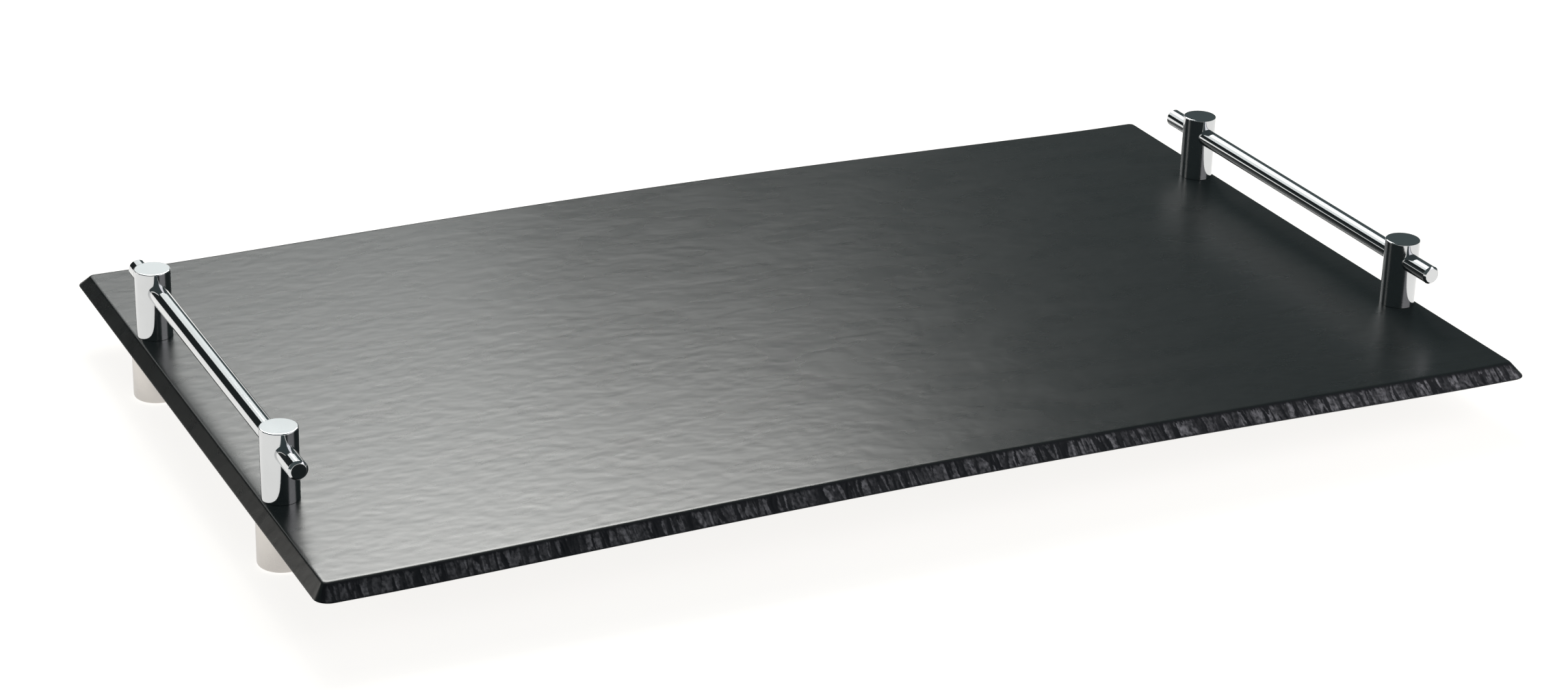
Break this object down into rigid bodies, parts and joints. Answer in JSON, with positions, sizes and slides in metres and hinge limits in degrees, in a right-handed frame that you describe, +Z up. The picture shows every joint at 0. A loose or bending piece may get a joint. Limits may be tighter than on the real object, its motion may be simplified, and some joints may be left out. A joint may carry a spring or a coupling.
{
  "type": "serving tray",
  "caption": "Rectangular slate-look melamine serving tray on round feet, with a chrome carrying rail held by posts along each short end.",
  "frame": {"origin": "on the table, under the middle of the board", "axes": "+X along the board's length, +Y along the rails towards the back, +Z up"},
  "size_m": [0.53, 0.325, 0.0574],
  "materials": {
    "melamine": "satin slate look",
    "rail_chrome": "polished",
    "post_chrome": "polished",
    "foot_metal": "satin",
    "screw_steel": "zinc plated",
    "grub_steel": "black oxide",
    "pad_rubber": "matt"
  },
  "bodies": {
    "root": {"tray_board": "melamine", "rail_left": "rail_chrome", "rail_right": "rail_chrome", "post_front_left": "post_chrome", "post_front_right": "post_chrome", "post_back_left": "post_chrome", "post_back_right": "post_chrome", "foot_front_left": "foot_metal", "foot_front_right": "foot_metal", "foot_back_left": "foot_metal", "foot_back_right": "foot_metal", "fixing_screw_front_left": "screw_steel", "fixing_screw_front_right": "screw_steel", "fixing_screw_back_left": "screw_steel", "fixing_screw_back_right": "screw_steel", "grub_screw_front_left": "grub_steel", "grub_screw_front_right": "grub_steel", "grub_screw_back_left": "grub_steel", "grub_screw_back_right": "grub_steel", "foot_pad_front_left": "pad_rubber", "foot_pad_front_right": "pad_rubber", "foot_pad_back_left": "pad_rubber", "foot_pad_back_right": "pad_rubber"}
  },
  "joints": []
}
